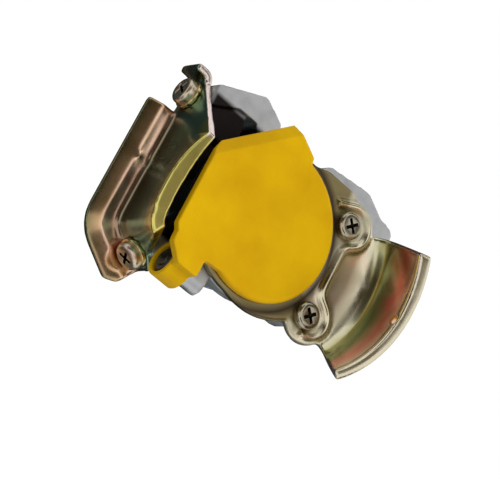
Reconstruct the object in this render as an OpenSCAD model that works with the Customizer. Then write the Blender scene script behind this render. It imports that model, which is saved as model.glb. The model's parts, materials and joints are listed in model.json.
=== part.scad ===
// Palm coupling for a trailer's air brake line: one half of a gladhand pair.
// +Z leaves the sealing face, +X points to the claw, and the origin is the port's mouth.

/* [Body casting] */
// Radius of the flange under the claw plate
cup_r = 25; // [24.5:0.1:25.4]
// Radius of the neck round the seal
neck_r = 20.5; // [20:0.1:22]
// Thickness of the flange under the claw plate
cup_flange_h = 5; // [4:0.5:6]
// Height from the port's mouth to the claw plate's seat
body_h = 38; // [37:0.5:40]
// Height at which the cup's round underside begins
cup_foot_z = 13; // [11:0.5:14]
// Radius of the port boss
port_boss_r = 14; // [12:0.5:16]
// Wall radius of the port's M16 x 1.5 thread
port_r = 7.19; // [6:0.01:8]
// Depth of the port's thread
port_depth = 14; // [10:0.5:16]
// Radius of the air passage
passage_r = 5; // [3:0.5:6]
// Thickness of the pad under the claw
claw_pad_h = 9; // [8:0.5:11]
// Height of the long arm that carries the guide
arm_top_z = 29; // [28:0.5:30]

/* [Seal] */
// Radius of the seal's foot
seal_foot_r = 17.2; // [16.5:0.1:18]
// Height of the seal's foot
seal_foot_h = 5.8; // [5:0.1:6.5]
// Outer radius of the seal's neck
seal_neck_r = 15; // [14.5:0.1:15.5]
// Radius of the seal's opening
seal_bore_r = 10; // [8:0.5:11]
// How far the seal stands above the claw plate
seal_stand = 1.4; // [1:0.1:1.5]
// Gap round the seal's foot and neck
seal_gap = 0.2; // [0.1:0.05:0.3]

/* [Claw plate] */
// Sheet thickness of the claw plate
claw_t = 3; // [2.5:0.1:3.5]
// Outer radius of the ring round the seal
ring_r = 26.5; // [26:0.1:27]
// Shift of the ring's outer edge towards the claw
ring_shift = 6; // [5:0.25:7]
// Outer radius of the ring under the lid
ring_back_r = 25.5; // [25:0.1:25.8]
// Distance of the claw's screws from the seal axis
claw_screw_r = 31.8; // [31.5:0.1:32.5]
// Half the angle between the claw's screws
claw_screw_angle = 30.8; // [30:0.2:32]
// Turn of the claw's screws towards the lid's finger tab
claw_turn = 1.9; // [1:0.1:2.5]
// Radius of the ears round the screws
ear_r = 8.8; // [8.5:0.1:9.2]
// Shift of the ears from their screws towards the lip
ear_shift = 1.8; // [1.4:0.1:2]
// Shift of the ears from their screws towards the lid's finger tab
ear_lift = 0.6; // [0.4:0.1:0.8]
// Reach of the plate's shoulder beside the upper ear
shoulder_y = 28.2; // [27.5:0.1:28.5]
// Height of the pressed bead round the screw pockets
bead_h = 2; // [1.5:0.1:2.5]
// Width of the pressed bead
bead_w = 3.2; // [3:0.1:3.6]
// Distance of the bead from the seal axis, between the ears
bead_x = 29.2; // [28.5:0.1:29.8]
// Outer radius of the lip
lip_r = 48.2; // [47:0.1:50]
// How far the lip stands above the plate
lip_h = 23; // [20:0.5:26]
// Radius of the bend from the plate to the lip
lip_bend_r = 8; // [6:0.5:9]
// Angle of the land's lower end
land_start = -28; // [-30:1:-26]
// Angle of the land's upper end
land_end = 29; // [27:1:31]
// Angle of the lip's lower end, at its top edge
lip_start = -47; // [-50:1:-44]
// Angle of the lip's upper end, at its top edge
lip_end = 21; // [18:1:24]
// How far the lip's top edge turns inwards at its upper end
hook_w = 2; // [1.5:0.1:2.5]
// How far the lip's top edge turns inwards at its lower end
hook_low_w = 0.2; // [0.1:0.1:0.5]

/* [Guide bracket] */
// Sheet thickness of the guide
guide_t = 2.8; // [2.5:0.1:3]
// Distance of the guide's outer web face from the seal axis
guide_x = 33; // [32.5:0.1:34]
// Height of the guide's floor
guide_floor_z = 18; // [17:0.5:19]
// Height of the guide's top flange
guide_top_z = 42.2; // [41.5:0.1:42.6]
// Width of the guide's floor
guide_floor_w = 5; // [4:0.5:6]
// Width of the floor's flared edge
guide_flare_w = 4.8; // [4:0.2:6]
// Drop of the floor's flared edge
guide_flare_drop = 2.6; // [2:0.1:3]
// Radius of the flange's arched edge
guide_arc_r = 46; // [44:0.5:48]
// Widest reach of the flange's arched edge from the web
guide_arc_reach = 5.5; // [5:0.1:6.5]
// Widest part of the flange inside the arched edge
guide_flange_w = 3; // [2.5:0.1:3.2]
// Height of the guide's upper screw
guide_screw_z = 20.7; // [20.5:0.1:22]
// Height of the guide's lower screw
bend_screw_z = 22; // [21.5:0.1:22.5]

/* [Lid and hinge] */
// Gap between the lid and the claw screws' heads
lid_screw_gap = 2.8; // [2.5:0.1:3.2]
// Thickness of the lid
lid_t = 2.7; // [2.4:0.1:3]
// Gap under the lid
lid_gap = 0.3; // [0.25:0.05:0.4]
// Distance of the hinge from the seal axis
hinge_y = 27.6; // [27.4:0.1:28.4]
// Depth of the hinge below the claw plate's seat
hinge_drop = 3.5; // [3.2:0.1:3.8]
// Radius of the lid's hinge barrel
barrel_r = 6; // [5.7:0.1:6.1]
// Radius of the spring's pocket in the barrel
spring_pocket_r = 4.7; // [4.6:0.05:4.9]
// Radius of the hinge pin
pin_r = 2; // [1.8:0.05:2.1]
// Running gap between the pin and the lid
pin_gap = 0.05; // [0.02:0.01:0.1]
// Wire radius of the lid's spring
wire_r = 0.6; // [0.5:0.05:0.7]

/* [Screws] */
// Shank radius of the screws
shank_r = 2.4; // [2:0.1:2.5]
// Head radius of the screws
head_r = 4.5; // [4.2:0.1:4.7]
// Head height of the screws
head_h = 2.9; // [2.5:0.1:3.2]
// Shank length below the plate that a screw holds
shank_l = 9.5; // [8:0.5:10]
// Gap round a shank in its tapped hole
tap_gap = 0.02; // [0.01:0.01:0.05]
// Gap round a shank in a plate
plate_gap = 0.3; // [0.2:0.05:0.4]
// Thickness of the guide screws' washers
washer_t = 1.2; // [1:0.1:1.5]

/* [Hidden] */
$fn = 64;

eps = 0.01;
plate_z = body_h + claw_t;
seal_seat_z = body_h - seal_foot_h - seal_gap;
seal_top_z = plate_z + seal_stand;
lid_z = plate_z + lid_gap;
lid_top_z = lid_z + lid_t;
seal_room = 0.4;
lid_r = claw_screw_r - head_r - lid_screw_gap;
hinge_z = body_h - hinge_drop;

// Hinge: barrel and lug along X, on the -Y side
barrel_x0 = -22.5;
barrel_x1 = -14.5;
barrel_wall = 2;
hinge_side_gap = 0.35;
lug_x0 = barrel_x1 + hinge_side_gap;
lug_x1 = -7;
lug_r = hinge_drop;
barrel_relief = 0.7;
pin_x0 = barrel_x0 + 0.2;
clip_t = 0.8;
clip_r = spring_pocket_r - 0.9;
clip_gap = 0.02;
clip_x0 = pin_x0 + 0.4;
coil_r = spring_pocket_r - wire_r - 0.15;
coil_turns = 2.25;

washer_r = head_r + 0.5;

// Guide: places along Y and the bent end
guide_in_x = -guide_x + guide_t;
guide_bottom_z = guide_floor_z - guide_t;
guide_bend_y = -22;
guide_bend_angle = 30;
guide_bend_turn = 90 - guide_bend_angle;
guide_bend_l = 16.5;
floor_trim = 0.1;
seat_d = 0.2;
guide_bend_top_z = 25;
guide_bend_knee_s = 11;
guide_flare_s = 13.5;
guide_bend_knee_z = 27.5;
guide_flange_y = 10;
guide_end_y = 34.8;
guide_end_top_z = 25;
guide_floor_y = 19.5;
guide_screw_y = 25.5;
guide_screw_s = 9.7;
guide_arc_y = -11.5;
curl_r = 4;
curl_l = 3.5;

// Claw: profile of the lip and the eccentric edge of its hook
lip_in_r = lip_r - claw_t;
lip_top_z = plate_z + lip_h;
land_r = lip_in_r - lip_bend_r;
land_root_r = 24;
land_step = 0.2;
hook_slope = 1.2;
lip_steps = 24;
shoulder_x0 = 12.6;
shoulder_x1 = 24;
bead_inset = 0.4;
bead_r = ear_r - bead_w / 2 - bead_inset;
bead_sink = 0.2;
bead_steps = 14;
bead_from = 115;
bead_leave = 60;
bead_to = -100;
bead_lead = 7;
bead_turn_r = 4;
detent_r = 1.6;
detent_d = 0.8;
detent_drop = 2.4;
detent_angle = -8;

arc_steps = 6;

function polar(r, a) = r * [cos(a), sin(a)];

function unit(v) = v / norm(v);

// Points of a round corner of radius r at b, between the sides from a and to c
function corner(a, b, c, r) =
    let (u = unit(a - b), w = unit(c - b), half = acos(u * w) / 2,
        mid = b + unit(u + w) * r / sin(half), from = b + u * r / tan(half) - mid,
        to = b + w * r / tan(half) - mid, start = atan2(from.y, from.x),
        turn = sign(cross(from, to)) * (180 - 2 * half))
    [for (i = [0:arc_steps]) mid + polar(r, start + turn * i / arc_steps)];

// Outline with every corner rounded to radius r
function rounded(points, r) =
    let (n = len(points))
    [for (i = [0:n - 1]) each corner(points[(i + n - 1) % n], points[i], points[(i + 1) % n], r)];

// Quarter-round profile points about a centre, from angle a to angle b
function arc(centre, r, a, b) = [for (i = [0:arc_steps]) centre + polar(r, a + (b - a) * i / arc_steps)];

// Sheet lofted along stations, each a pair of equal lists of points: its front and its back
module sheet_loft(stations) {
    n = len(stations);
    m = len(stations[0][0]);
    function front(k, i) = 2 * m * k + i;
    function back(k, i) = 2 * m * k + m + i;
    function quad(a, b, c, d) = [[a, b, c], [a, c, d]];
    sides = [for (k = [0:n - 2], i = [0:m - 2]) each concat(
        quad(front(k, i), front(k, i + 1), front(k + 1, i + 1), front(k + 1, i)),
        quad(back(k + 1, i), back(k + 1, i + 1), back(k, i + 1), back(k, i)))];
    edges = [for (k = [0:n - 2]) each concat(
        quad(front(k + 1, 0), back(k + 1, 0), back(k, 0), front(k, 0)),
        quad(front(k, m - 1), back(k, m - 1), back(k + 1, m - 1), front(k + 1, m - 1)))];
    caps = [for (i = [0:m - 2]) each concat(
        quad(front(0, i + 1), front(0, i), back(0, i), back(0, i + 1)),
        quad(front(n - 1, i), front(n - 1, i + 1), back(n - 1, i + 1), back(n - 1, i)))];
    polyhedron([for (station = stations) each concat(station[0], station[1])], concat(sides, edges, caps));
}

// Cylinder along X on the hinge line
module hinge_rod(x0, x1, r) {
    translate([x0, -hinge_y, hinge_z]) rotate([0, 90, 0]) cylinder(r = r, h = x1 - x0);
}

// Frame of the guide's bent end: +X along the bend, +Y into the body
module on_bend() {
    translate([-guide_x, guide_bend_y, 0]) rotate([0, 0, -guide_bend_angle]) children();
}

function claw_screw_at(side) = polar(claw_screw_r, side * claw_screw_angle + claw_turn);

function ear_at(side) = claw_screw_at(side) + [ear_shift, ear_lift];

// Places a screw-like shape, made along +Z with its head's seat at z = 0
module at_claw_screw(side) {
    translate(concat(claw_screw_at(side), [plate_z])) children();
}

module at_guide_screw_upper() {
    translate([-guide_x, guide_screw_y, guide_screw_z]) rotate([0, -90, 0]) children();
}

module at_guide_screw_lower() {
    on_bend() translate([guide_screw_s, 0, bend_screw_z]) rotate([90, 0, 0]) children();
}

// Pan-head screw with a cross recess, its head's seat at z = 0
module screw(seat = 0) {
    recess_w = 1.1;
    recess_l = head_r * 1.1;
    recess_d = head_h * 0.55;
    dome = 1.4;
    difference() {
        union() {
            translate([0, 0, seat]) rotate_extrude() polygon(concat([[0, 0], [head_r, 0]],
                arc([head_r - dome, head_h - dome], dome, 0, 90), [[0, head_h]]));
            translate([0, 0, -shank_l]) cylinder(r = shank_r, h = shank_l + seat + eps);
        }
        for (turn = [0, 90])
            rotate([0, 0, turn + 45]) translate([-recess_l / 2, -recess_w / 2, seat + head_h - recess_d])
                cube([recess_l, recess_w, recess_d + eps]);
    }
}

module tapped_hole() {
    translate([0, 0, -shank_l - 1]) cylinder(r = shank_r + tap_gap, h = shank_l + 1 + eps);
}

module plate_hole() {
    translate([0, 0, -claw_t - 1]) cylinder(r = shank_r + plate_gap, h = claw_t + 2);
}

module cup() {
    round_r = neck_r - port_boss_r;
    slope_h = cup_r - neck_r;
    edge = 1;
    rotate_extrude() polygon(concat([[0, 0], [port_boss_r - edge, 0], [port_boss_r, edge],
        [port_boss_r, cup_foot_z]],
        arc([neck_r - round_r, cup_foot_z + round_r], round_r, -90, 0),
        [[neck_r, body_h - cup_flange_h - slope_h], [cup_r, body_h - cup_flange_h],
        [cup_r, body_h], [0, body_h]]));
}

module claw_pad() {
    corner_r = 3;
    outline = [[2, 20], [14, 31], [31, 33], [39, 29], [46, 28], [47, 21], [38, 10], [36, -13], [27, -20],
        [8, -20]];
    translate([0, 0, body_h - claw_pad_h]) linear_extrude(claw_pad_h) polygon(rounded(outline, corner_r));
}

module guide_arm() {
    arm_h = arm_top_z - guide_bottom_z;
    pad_step = 1.2;
    corner_r = 1.2;
    pad_corner_r = 1;
    outline = [[guide_in_x, 23.5], [guide_in_x, 31.5], [-13, 39], [-4, 35], [4, 16], [-6, 17], [-12, 29.5],
        [-20, 29.3]];
    pad = [[guide_in_x, 17.5], [guide_in_x, 31], [-16, 31], [-14, 20], [-20, 16]];
    translate([0, 0, guide_bottom_z]) {
        linear_extrude(arm_h) polygon(rounded(outline, corner_r));
        linear_extrude(arm_h - pad_step) polygon(rounded(pad, pad_corner_r));
    }
}

module bent_end_boss() {
    boss_r = shank_r + 2.2;
    boss_l = 16;
    on_bend() translate([guide_screw_s, guide_t, bend_screw_z]) rotate([-90, 0, 0])
        cylinder(r = boss_r, h = boss_l);
}

module hinge_lug() {
    hinge_rod(lug_x0, lug_x1, lug_r);
    translate([lug_x0, -hinge_y, hinge_z - lug_r])
        cube([lug_x1 - lug_x0, hinge_y - neck_r + 8, 2 * lug_r]);
}

module body() {
    color("silver") difference() {
        union() {
            cup();
            claw_pad();
            guide_arm();
            bent_end_boss();
            hinge_lug();
        }
        translate([0, 0, -eps]) cylinder(r = port_r, h = port_depth + eps);
        translate([0, 0, port_depth - eps]) cylinder(r = passage_r, h = body_h);
        translate([0, 0, seal_seat_z]) cylinder(r = seal_foot_r + seal_gap, h = body_h);
        hinge_rod(barrel_x0 - 3, lug_x0, barrel_r + barrel_relief);
        hinge_rod(lug_x0 - 1, lug_x1 + 1, pin_r);
        for (side = [-1, 1])
            at_claw_screw(side) translate([0, 0, -claw_t]) tapped_hole();
        at_guide_screw_upper() translate([0, 0, -guide_t]) tapped_hole();
        at_guide_screw_lower() translate([0, 0, -guide_t]) tapped_hole();
    }
}

module seal_ring() {
    lip_round = 1.2;
    color("#222222") translate([0, 0, seal_seat_z]) rotate_extrude()
        polygon(concat([[seal_bore_r, 0], [seal_foot_r, 0], [seal_foot_r, seal_foot_h],
            [seal_neck_r, seal_foot_h]],
            arc([seal_neck_r - lip_round, seal_top_z - seal_seat_z - lip_round], lip_round, 0, 90),
            arc([seal_bore_r + lip_round, seal_top_z - seal_seat_z - lip_round], lip_round, 90, 180)));
}

// Half-round pressed bead: round the upper ear, past the lid and round the lower ear, in one line
module bead() {
    bows = 6;
    upper = [for (i = [0:bead_steps])
        ear_at(1) + polar(bead_r, bead_from - (bead_from + bead_leave) * i / bead_steps)];
    lower = [for (i = [0:bead_steps])
        ear_at(-1) + polar(bead_r, bead_leave + (bead_to - bead_leave) * i / bead_steps)];
    last = upper[bead_steps];
    next = lower[0];
    knee_upper = [bead_x, last.y - (last.x - bead_x) / tan(bead_leave)];
    knee_lower = [bead_x, next.y + (next.x - bead_x) / tan(bead_leave)];
    line = concat([upper[0] + polar(bead_lead, bead_from + 90)], upper,
        corner(last, knee_upper, knee_lower, bead_turn_r),
        corner(knee_upper, knee_lower, next, bead_turn_r), lower);
    n = len(line);
    function across(k) = let (d = unit(line[min(k + 1, n - 1)] - line[max(k - 1, 0)])) [-d.y, d.x];
    function place(k, i, z) = concat(line[k] + across(k) * cos(i * 180 / bows) * bead_w / 2, [z]);
    sheet_loft([for (k = [0:n - 1]) [
        [for (i = [0:bows]) place(k, i, plate_z - claw_t / 2)],
        [for (i = [0:bows]) place(k, i, plate_z - bead_sink + sin(i * 180 / bows) * (bead_h + bead_sink))]]]);
}

// Flat ring and ears of the claw plate
module flat_plate() {
    cylinder(r = ring_back_r, h = claw_t);
    translate([ring_shift, 0, 0]) cylinder(r = ring_r, h = claw_t);
    for (side = [-1, 1])
        translate(ear_at(side)) cylinder(r = ear_r, h = claw_t);
    shoulder = [[ring_shift, 0], [ring_shift + 1, ring_r - 0.2], [shoulder_x0, shoulder_y],
        [shoulder_x1, shoulder_y], ear_at(1) + [0.5, ear_r - 0.7], ear_at(1)];
    linear_extrude(claw_t) polygon(shoulder);
}

// Land, bend and upright lip, whose ends slant and whose top edge turns inwards towards the upper end
module lip() {
    bend = [land_r, plate_z + lip_bend_r];
    hook_z = lip_top_z - claw_t;
    low = body_h + land_step;
    high = plate_z - land_step;
    function share(z) = max(0, min(1, (z - plate_z) / lip_h));
    function first(z) = land_start + (lip_start - land_start) * share(z);
    function last(z) = land_end + (lip_end - land_end) * share(z);
    function place(p, t) = concat(polar(p.x, first(p.y) + t * (last(p.y) - first(p.y))), [p.y]);
    function edge(t) = lip_in_r - hook_low_w - t * (hook_w - hook_low_w);
    back = concat([[land_root_r, low], [land_r, low]], arc(bend, lip_bend_r + claw_t, -75, 0),
        [[lip_r, hook_z], [lip_r, hook_z + hook_slope], [lip_r, lip_top_z]]);
    function face(t) = concat([[land_root_r, high], [land_r, high]], arc(bend, lip_bend_r, -75, 0),
        [[lip_in_r, hook_z], [edge(t), hook_z + hook_slope], [edge(t), lip_top_z]]);
    sheet_loft([for (k = [0:lip_steps]) let (t = k / lip_steps)
        [[for (p = back) place(p, t)], [for (p = face(t)) place(p, t)]]]);
}

module claw_plate() {
    color("#c9b56a") difference() {
        union() {
            translate([0, 0, body_h]) flat_plate();
            bead();
            lip();
        }
        translate([0, 0, body_h - 1]) cylinder(r = seal_neck_r + seal_gap, h = claw_t + 2);
        for (side = [-1, 1])
            at_claw_screw(side) plate_hole();
        rotate([0, 0, detent_angle]) translate([lip_in_r - hook_w - 1, 0, lip_top_z - detent_drop])
            rotate([0, 90, 0]) cylinder(r = detent_r, h = hook_w + 1 + detent_d);
    }
}

module claw_screw_upper() {
    color("#a9a386") at_claw_screw(1) screw();
}

module claw_screw_lower() {
    color("#a9a386") at_claw_screw(-1) screw();
}

// Web, floor and flared edge of the guide, lofted from the upper end to the end of the bend
module guide_channel() {
    fillet = 1.5;
    web_steps = 4;
    lean = 2;
    turn_r = guide_t + 0.6;
    turn_mid = [-guide_x + turn_r, guide_bend_y + turn_r * tan(guide_bend_turn / 2)];
    turn_l = turn_r * tan(guide_bend_turn / 2);
    function reach(y) = max(0, guide_arc_reach - guide_arc_r + sqrt(guide_arc_r ^ 2 - (y - guide_arc_y) ^ 2));
    bend_reach = reach(guide_bend_y);
    flange_taper = 0.65;
    end_flare = 0.4;
    web_end_y = guide_end_y - curl_r;
    function rise(y) = guide_end_top_z
        + (guide_top_z - guide_end_top_z) * min(1, (web_end_y - y) / (web_end_y - guide_flange_y));
    // Each stop: place on the web's outer face, outward angle, top edge's height and reach, share of the flare
    straight = [for (y = [web_end_y, 20, guide_flange_y, 7, 4, 0, -4, -8, -12, -16, turn_mid.y + 1])
        [[-guide_x, y], 180, rise(y), reach(y), 1]];
    turn = [for (i = [0:4]) let (a = 180 + guide_bend_turn * i / 4)
        [turn_mid + polar(turn_r, a), a, guide_top_z, bend_reach, 1]];
    function down(at) = at < guide_bend_knee_s
        ? guide_top_z + (guide_bend_knee_z - guide_top_z) * (at - turn_l) / (guide_bend_knee_s - turn_l)
        : guide_bend_knee_z + (guide_bend_top_z - guide_bend_knee_z) * (at - guide_bend_knee_s)
            / (guide_bend_l - guide_bend_knee_s);
    bent = [for (at = [4, 7.5, guide_bend_knee_s, guide_flare_s, guide_bend_l])
        [[-guide_x, guide_bend_y] + polar(at, -guide_bend_angle), 180 + guide_bend_turn, down(at),
            bend_reach * max(0, 1 - at / guide_bend_knee_s), at > guide_flare_s ? end_flare : 1]];
    foot_z = guide_floor_z + fillet;
    function climb(stop, u) = [stop[3] * u ^ lean, foot_z + (stop[2] - foot_z) * u];
    function fold(stop) = min(guide_t, 0.6 / web_steps * (stop[2] - foot_z));
    function brim(stop) = climb(stop, 1) - [guide_t + guide_flange_w * stop[3] / guide_arc_reach, 0];
    function face(stop) = concat(
        [[guide_floor_w + guide_flare_w * stop[4], guide_floor_z - guide_flare_drop * stop[4]],
        [guide_floor_w, guide_floor_z],
        [fillet, guide_floor_z], [fillet * 0.3, guide_floor_z + fillet * 0.3]],
        [for (i = [0:web_steps]) climb(stop, i / web_steps)], [brim(stop)]);
    function rear(stop) = concat(
        [[guide_floor_w + guide_flare_w * stop[4] - 1.3, guide_bottom_z - guide_flare_drop * stop[4]],
        [guide_floor_w - 0.6, guide_bottom_z], [0, guide_bottom_z], [-guide_t + fillet, guide_bottom_z]],
        [[-guide_t, guide_bottom_z + fillet]],
        [for (i = [1:web_steps]) climb(stop, i / web_steps) - [guide_t, i == web_steps ? fold(stop) : 0]],
        [brim(stop) - [0, flange_taper * fold(stop)]]);
    function place(stop, p) = concat(stop[0] + polar(p.x, stop[1]), [p.y]);
    sheet_loft([for (stop = concat(straight, turn, bent))
        [[for (p = face(stop)) place(stop, p)], [for (p = rear(stop)) place(stop, p)]]]);
}

// Outward curl of the guide's upper end, rooted inside the web
module guide_curl() {
    height = guide_end_top_z - guide_bottom_z;
    root = 3;
    translate([-guide_x - curl_r + guide_t, guide_end_y - curl_r, guide_bottom_z]) {
        rotate_extrude(angle = 90) translate([curl_r - guide_t, 0]) square([guide_t, height]);
        translate([-curl_l, curl_r - guide_t, 0]) cube([curl_l, guide_t, height]);
        translate([curl_r - guide_t * 0.75, -root, height * 0.1])
            cube([guide_t / 2, 2 * root - 1, height * 0.6]);
    }
}

module guide_bracket() {
    rib_r = 1.6;
    color("#b8a456") difference() {
        union() {
            difference() {
                guide_channel();
                translate([-3 * guide_x, guide_floor_y, 0])
                    cube([2 * guide_x + floor_trim, guide_end_y, 2 * guide_top_z]);
            }
            guide_curl();
            translate([-guide_x - guide_floor_w + 0.5, 0, guide_floor_z - 0.6]) rotate([0, 90, 0])
                cylinder(r = rib_r, h = guide_floor_w);
        }
        at_guide_screw_upper() plate_hole();
        at_guide_screw_lower() plate_hole();
        at_guide_screw_lower() translate([0, 0, -seat_d])
            cylinder(r = washer_r + plate_gap, h = guide_floor_w + guide_flare_w);
    }
}

module washer() {
    difference() {
        cylinder(r = washer_r, h = washer_t);
        translate([0, 0, -1]) cylinder(r = shank_r + plate_gap, h = washer_t + 2);
    }
}

module guide_screw_upper() {
    color("#c8b8a0") at_guide_screw_upper() screw(washer_t);
}

module guide_screw_lower() {
    color("#c8b8a0") at_guide_screw_lower() screw(washer_t);
}

module guide_washer_upper() {
    color("#c9a84e") at_guide_screw_upper() washer();
}

module guide_washer_lower() {
    color("#c9a84e") at_guide_screw_lower() washer();
}

// Outline of the lid's wing, from the hinge round the guide to the finger tab
module lid_wing() {
    corner_r = 1;
    guide_gap = 1.2;
    left = guide_in_x + guide_gap;
    outline = [[left, -19.5], [left + 1.4, -21.5], [left + 1.5, -25], [barrel_x0, -hinge_y - 2],
        [barrel_x1, -hinge_y - 2], [barrel_x1, -23.5], [0, -lid_r + 2], [4, 20], [3, 26], [-8, 31.5],
        [-16, 25.5], [-24, 18.5], [-27.5, 12.5], [left, 7]];
    polygon(rounded(outline, corner_r));
}

module lid_disc() {
    edge = 1.1;
    rotate_extrude() polygon(concat([[0, lid_z], [lid_r, lid_z]],
        arc([lid_r - edge, lid_top_z - edge], edge, 0, 90), [[0, lid_top_z]]));
}

module lid() {
    tab_slope = 35;
    tab_line = 24;
    tab_l = 80;
    bridge_y = hinge_y + 2;
    bridge_w = 7.6;
    bridge_z = hinge_z + 4;
    color("#e8bd08") difference() {
        union() {
            lid_disc();
            translate([0, 0, lid_z]) linear_extrude(lid_t) lid_wing();
            hinge_rod(barrel_x0, barrel_x1, barrel_r);
            translate([barrel_x0, -bridge_y, bridge_z])
                cube([barrel_x1 - barrel_x0, bridge_w, lid_z - bridge_z + 1]);
        }
        translate([0, 0, lid_z - eps])
            cylinder(r = seal_neck_r + 2, h = seal_top_z - lid_z + seal_room);
        hinge_rod(barrel_x0 - 1, barrel_x1 - barrel_wall, spring_pocket_r);
        hinge_rod(barrel_x0, barrel_x1 + 1, pin_r + pin_gap);
        rotate([0, 0, 135]) translate([tab_line, -tab_l / 2, lid_top_z]) rotate([0, tab_slope, 0])
            cube([tab_l / 2, tab_l, tab_l / 4]);
    }
}

module hinge_pin() {
    slot_w = 2 * wire_r + 0.3;
    slot_l = 2;
    color("#b9b9b4") difference() {
        hinge_rod(pin_x0, lug_x1, pin_r);
        translate([clip_x0 + clip_t, -hinge_y - slot_w / 2, hinge_z - 3 * pin_r])
            cube([slot_l, slot_w, 6 * pin_r]);
    }
}

module pin_clip() {
    color("#c9c4b0") difference() {
        hinge_rod(clip_x0, clip_x0 + clip_t - 0.1, clip_r);
        hinge_rod(clip_x0 - 1, clip_x0 + 2, pin_r + clip_gap);
    }
}

// Closed tube swept along a list of points in planes across the X axis
module wire(points) {
    sides = 8;
    n = len(points);
    function tangent(i) = unit(points[min(i + 1, n - 1)] - points[max(i - 1, 0)]);
    function side(i) = unit(cross(tangent(i), [1, 0, 0.001]));
    function spoke(i, a) = cos(a) * side(i) + sin(a) * cross(tangent(i), side(i));
    ring = [for (i = [0:n - 1], k = [0:sides - 1]) points[i] + wire_r * spoke(i, k * 360 / sides)];
    walls = [for (i = [0:n - 2], k = [0:sides - 1])
        [i * sides + k, (i + 1) * sides + k, (i + 1) * sides + (k + 1) % sides, i * sides + (k + 1) % sides]];
    caps = [[for (k = [0:sides - 1]) k], [for (k = [sides - 1:-1:0]) (n - 1) * sides + k]];
    polyhedron(ring, concat(walls, caps));
}

module lid_spring() {
    steps = 16;
    start_x = clip_x0 + clip_t + wire_r + 0.1;
    pitch = 2 * wire_r + 0.12;
    coil = [for (i = [0:coil_turns * steps])
        [start_x + pitch * i / steps, coil_r * cos(i * 360 / steps), coil_r * sin(i * 360 / steps)]];
    color("#8d8d88") translate([0, -hinge_y, hinge_z]) wire(coil);
}

body();
seal_ring();
claw_plate();
claw_screw_upper();
claw_screw_lower();
guide_bracket();
guide_screw_upper();
guide_screw_lower();
guide_washer_upper();
guide_washer_lower();
lid();
hinge_pin();
pin_clip();
lid_spring();
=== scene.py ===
"""Looks of the palm coupling: rounded visual pieces, procedural finishes, a pale studio and the camera."""

import json
import logging
import math
from dataclasses import dataclass, field
from enum import Enum

import bpy
from mathutils import Matrix, Vector

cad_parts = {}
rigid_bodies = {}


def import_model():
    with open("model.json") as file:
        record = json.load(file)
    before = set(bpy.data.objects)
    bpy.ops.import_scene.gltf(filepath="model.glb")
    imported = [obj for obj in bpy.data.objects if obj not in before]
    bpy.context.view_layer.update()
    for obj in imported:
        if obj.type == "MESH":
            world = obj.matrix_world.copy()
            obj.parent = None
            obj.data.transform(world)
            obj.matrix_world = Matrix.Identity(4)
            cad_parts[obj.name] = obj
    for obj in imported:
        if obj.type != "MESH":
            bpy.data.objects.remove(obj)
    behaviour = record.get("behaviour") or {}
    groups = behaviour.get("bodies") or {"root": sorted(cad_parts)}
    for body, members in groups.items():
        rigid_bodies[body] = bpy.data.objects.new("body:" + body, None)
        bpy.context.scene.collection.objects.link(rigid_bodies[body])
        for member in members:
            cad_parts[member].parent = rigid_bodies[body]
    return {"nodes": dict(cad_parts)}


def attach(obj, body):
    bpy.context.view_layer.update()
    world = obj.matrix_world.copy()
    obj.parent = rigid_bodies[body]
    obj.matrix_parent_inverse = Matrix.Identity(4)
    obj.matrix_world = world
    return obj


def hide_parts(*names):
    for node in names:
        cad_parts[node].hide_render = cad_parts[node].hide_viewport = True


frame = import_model()

LOG = logging.getLogger("coupling")
Colour = tuple[float, float, float]
Point = tuple[float, float, float]
Box = tuple[float, float, float, float, float, float]
Bands = tuple[tuple[float, Colour], ...]
Socket = bpy.types.NodeSocket

# One millimetre in scene units.
MM = 0.001
# Attribute that tells a finish which points of a piece are marked.
MARK = "marked"
# Sockets of a mix node by place, since their names repeat for each kind of data.
COLOUR_A, COLOUR_B, COLOUR_OUT = 6, 7, 2
FLOAT_A, FLOAT_B, FLOAT_OUT = 2, 3, 0
# Range that most of a noise's values lie in.
NOISE_LOW, NOISE_HIGH = 0.3, 0.7
# Distance in metres at which points of a copied node count as one.
MERGE_DISTANCE = 0.000002
# Angle in degrees under which neighbouring facets count as one flat face.
FLAT_ANGLE = 0.6
# Share of the way to the middle of its neighbours that a point moves in one relaxing pass.
RELAX_SHARE = 0.5
# Height in metres of the grain's relief at full strength.
GRAIN_HEIGHT = 0.0004
# Distance in metres of the cards from the part, and the point that lamps and cards face.
CARD_DISTANCE = 0.9
AIM = (0.0, 0.0, 0.03)
# Height of the studio's floor, and of the lowest card above it, in metres.
FLOOR_Z = -0.10
FLOOR_GAP = 0.004
WHITE = (1.0, 1.0, 1.0)


class Body(Enum):
    """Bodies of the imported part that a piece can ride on."""

    BASE = "base"
    LID = "lid"


class Slot(Enum):
    """Material slots of the record."""

    CASTING = "casting"
    SEAL = "seal"
    SHEET = "plated_sheet"
    SCREW = "plated_screw"
    WASHER = "plated_washer"
    LID = "lid_plastic"
    PIN = "pin_steel"


def rgba(colour: Colour) -> tuple[float, float, float, float]:
    """Colour with full opacity."""
    return (*colour, 1.0)


def fade(value: float, start: float, end: float) -> float:
    """Share from 0 at start to 1 at end."""
    return min(1.0, max(0.0, (value - start) / (end - start)))


def deselect_all() -> None:
    """Leaves nothing selected, in object mode."""
    if bpy.context.object and bpy.context.object.mode != "OBJECT":
        bpy.ops.object.mode_set(mode="OBJECT")
    bpy.ops.object.select_all(action="DESELECT")


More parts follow.
